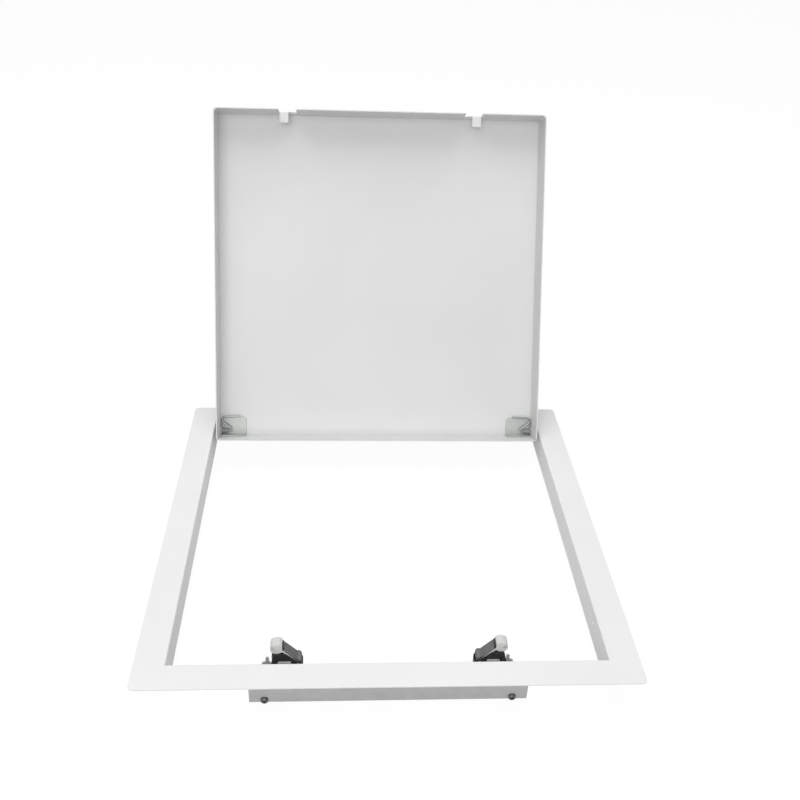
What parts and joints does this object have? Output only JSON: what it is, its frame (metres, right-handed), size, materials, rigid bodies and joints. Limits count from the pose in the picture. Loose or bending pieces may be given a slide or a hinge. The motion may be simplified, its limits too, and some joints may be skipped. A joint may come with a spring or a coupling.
{
  "type": "ceiling access panel",
  "caption": "Square picture-frame access panel: flanged steel frame, hinged pan door leaning open, latch rail with touch latches.",
  "frame": {"origin": "under the middle of the open panel's bounding box, at the height of the latch rail's underside", "axes": "+Z towards the room, +Y from the latch side to the hinge side, +X along the hinge"},
  "size_m": [0.4, 0.51, 0.3512],
  "materials": {
    "powder_coat_frame": "white powder coat, satin",
    "powder_coat_door": "white powder coat, satin",
    "galvanised_rail": "galvanised sheet, grey",
    "galvanised_bracket": "galvanised sheet, light grey",
    "hinge_plate": "zinc plated sheet",
    "spring_wire": "zinc plated spring wire",
    "sleeve_nylon": "dark grey nylon",
    "black_screw": "black oxide",
    "bright_screw": "zinc plated",
    "housing_nylon": "black nylon, fine grain",
    "jaw_acetal": "light grey acetal",
    "pad_rubber": "dark grey rubber, ribbed",
    "pivot_pin": "bright steel",
    "spring_steel": "spring steel"
  },
  "bodies": {
    "frame_body": {"frame": "powder_coat_frame", "latch_rail": "galvanised_rail", "rail_screw_left": "black_screw", "latch_bracket_left": "galvanised_bracket", "latch_housing_left": "housing_nylon", "latch_housing_screw_inner_left": "bright_screw", "latch_housing_screw_outer_left": "bright_screw", "latch_pivot_pin_left": "pivot_pin", "rail_screw_right": "black_screw", "latch_bracket_right": "galvanised_bracket", "latch_housing_right": "housing_nylon", "latch_housing_screw_inner_right": "bright_screw", "latch_housing_screw_outer_right": "bright_screw", "latch_pivot_pin_right": "pivot_pin"},
    "door": {"door_pan": "powder_coat_door", "hinge_bracket_left": "hinge_plate", "hinge_bracket_right": "hinge_plate", "hinge_sleeve_left": "sleeve_nylon", "hinge_sleeve_right": "sleeve_nylon"},
    "jaw_left": {"latch_jaw_left": "jaw_acetal", "latch_jaw_pad_left": "pad_rubber", "latch_spring_left": "spring_steel"},
    "jaw_right": {"latch_jaw_right": "jaw_acetal", "latch_jaw_pad_right": "pad_rubber", "latch_spring_right": "spring_steel"},
    "pin_left": {"hinge_wire_left": "spring_wire"},
    "pin_right": {"hinge_wire_right": "spring_wire"}
  },
  "joints": [
    {"name": "door_hinge", "type": "hinge", "parent": "frame_body", "child": "door", "pos_m": [0, 0.10915, 0.035], "axis": [1, 0, 0], "range_deg": [0, 114.77]},
    {"name": "jaw_left_swing", "type": "hinge", "parent": "frame_body", "child": "jaw_left", "pos_m": [-0.073, -0.2136, 0.0302], "axis": [0, -1, 0], "range_deg": [0, 51]},
    {"name": "jaw_right_swing", "type": "hinge", "parent": "frame_body", "child": "jaw_right", "pos_m": [0.073, -0.2136, 0.0302], "axis": [0, 1, 0], "range_deg": [0, 51]},
    {"name": "pin_left_slide", "type": "slide", "parent": "door", "child": "pin_left", "axis": [1, 0, 0], "range_m": [0, 0.005], "stiffness_N_per_m": 600, "springref_m": -0.002},
    {"name": "pin_right_slide", "type": "slide", "parent": "door", "child": "pin_right", "axis": [-1, 0, 0], "range_m": [0, 0.005], "stiffness_N_per_m": 600, "springref_m": -0.002}
  ],
  "couplings": [
    {"joint": "jaw_left_swing", "follows": "door_hinge", "ratio": 0.4443},
    {"joint": "jaw_right_swing", "follows": "door_hinge", "ratio": 0.4443}
  ]
}
